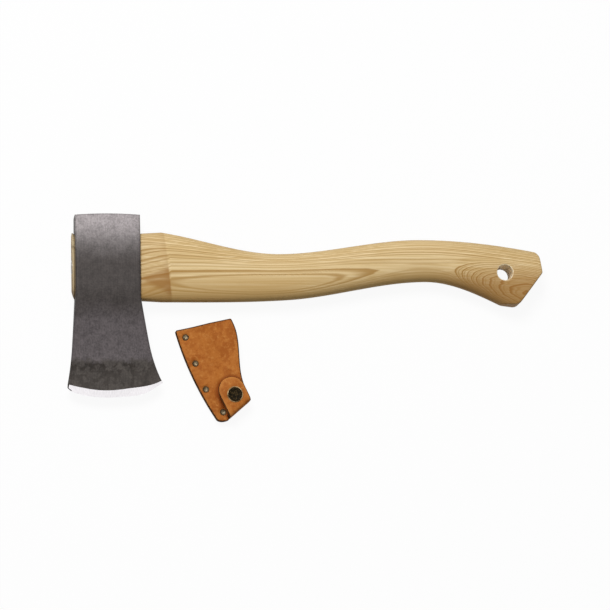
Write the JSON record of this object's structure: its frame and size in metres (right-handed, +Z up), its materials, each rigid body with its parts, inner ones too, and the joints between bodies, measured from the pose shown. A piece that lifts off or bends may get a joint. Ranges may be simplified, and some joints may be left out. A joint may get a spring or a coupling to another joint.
{
  "type": "carving hatchet",
  "caption": "Carving hatchet with a forged flared head wedged on a curved hickory handle, and a riveted leather edge cover with a snap flap lying beside it.",
  "frame": {"origin": "middle of the eye, on the flat land of the lower cheek that the hatchet lies on", "axes": "+X along the handle from the eye to the butt, +Y from the cutting edge to the poll, +Z up off the surface that it lies on"},
  "size_m": [0.3662, 0.1579, 0.024],
  "materials": {
    "head_steel": "forged grey cheeks with a bright ground bevel",
    "hickory": "sanded and oiled, satin",
    "wedge_wood": "sawn end grain",
    "bright_steel": "bright",
    "leather_front": "smooth tan grain side",
    "leather_back": "darker tan, rougher inside",
    "aged_brass": "aged brass, soft sheen",
    "black_cap": "blackened, soft sheen"
  },
  "bodies": {
    "hatchet": {"axe_head": "head_steel", "handle": "hickory", "wood_wedge": "wedge_wood", "ring_wedge": "bright_steel"},
    "edge_cover": {"cover_back": "leather_back", "cover_welt": "leather_back", "cover_front": "leather_front", "rivet_1": "aged_brass", "rivet_2": "aged_brass", "rivet_3": "aged_brass", "rivet_4": "aged_brass", "rivet_back_1": "aged_brass", "rivet_back_2": "aged_brass", "rivet_back_3": "aged_brass", "rivet_back_4": "aged_brass", "snap_stud": "bright_steel", "snap_post": "bright_steel"},
    "closing_flap": {"cover_flap": "leather_front", "snap_cap": "black_cap", "snap_socket": "bright_steel"}
  },
  "joints": [
    {"name": "cover_lift", "type": "slide", "parent": "hatchet", "child": "edge_cover", "axis": [0, 0, 1], "range_m": [0, 0.12]},
    {"name": "flap_fold", "type": "hinge", "parent": "edge_cover", "child": "closing_flap", "pos_m": [0.10032, -0.10898, 0.00767], "axis": [0.7581, 0.6521, 0], "range_deg": [0, 150]}
  ]
}
